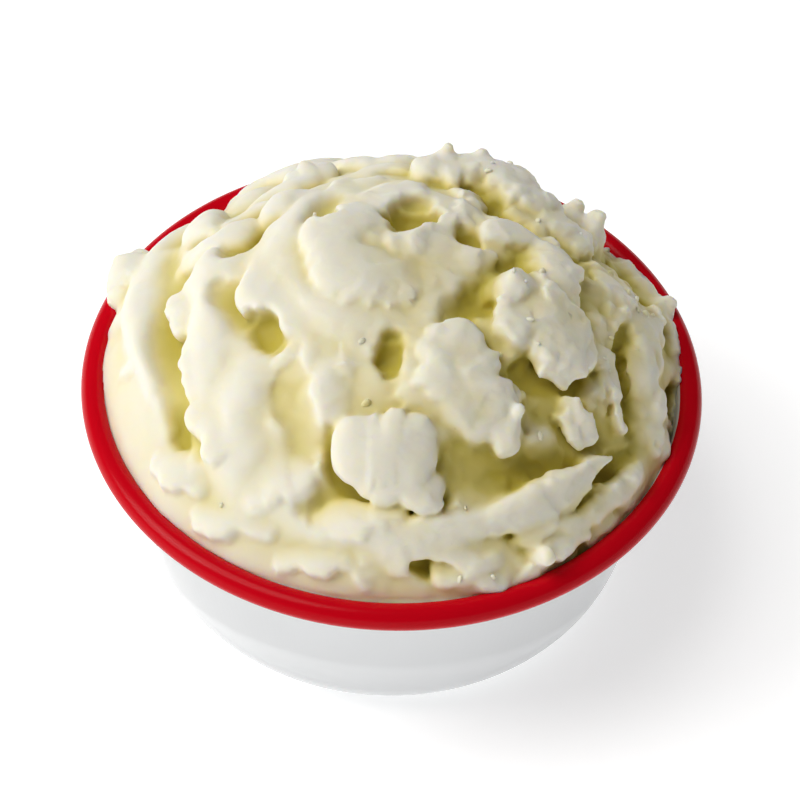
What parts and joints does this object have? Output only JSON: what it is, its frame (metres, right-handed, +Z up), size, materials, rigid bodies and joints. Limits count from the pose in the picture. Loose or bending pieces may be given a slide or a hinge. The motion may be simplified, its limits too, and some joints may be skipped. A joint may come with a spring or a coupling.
{
  "type": "mashed potato side",
  "caption": "Creamy mashed potato swirled and heaped high in a round white enamelled bowl with a rolled red rim.",
  "frame": {"origin": "centre of the bowl's flat base, on the surface it stands on", "axes": "+Z up; the side shown in front faces -Y"},
  "size_m": [0.14, 0.14, 0.0943],
  "materials": {
    "enamel": "glossy white enamel with a red rim",
    "mash": "moist, creamy, softly shining"
  },
  "bodies": {
    "root": {"bowl": "enamel", "mash": "mash"}
  },
  "joints": []
}
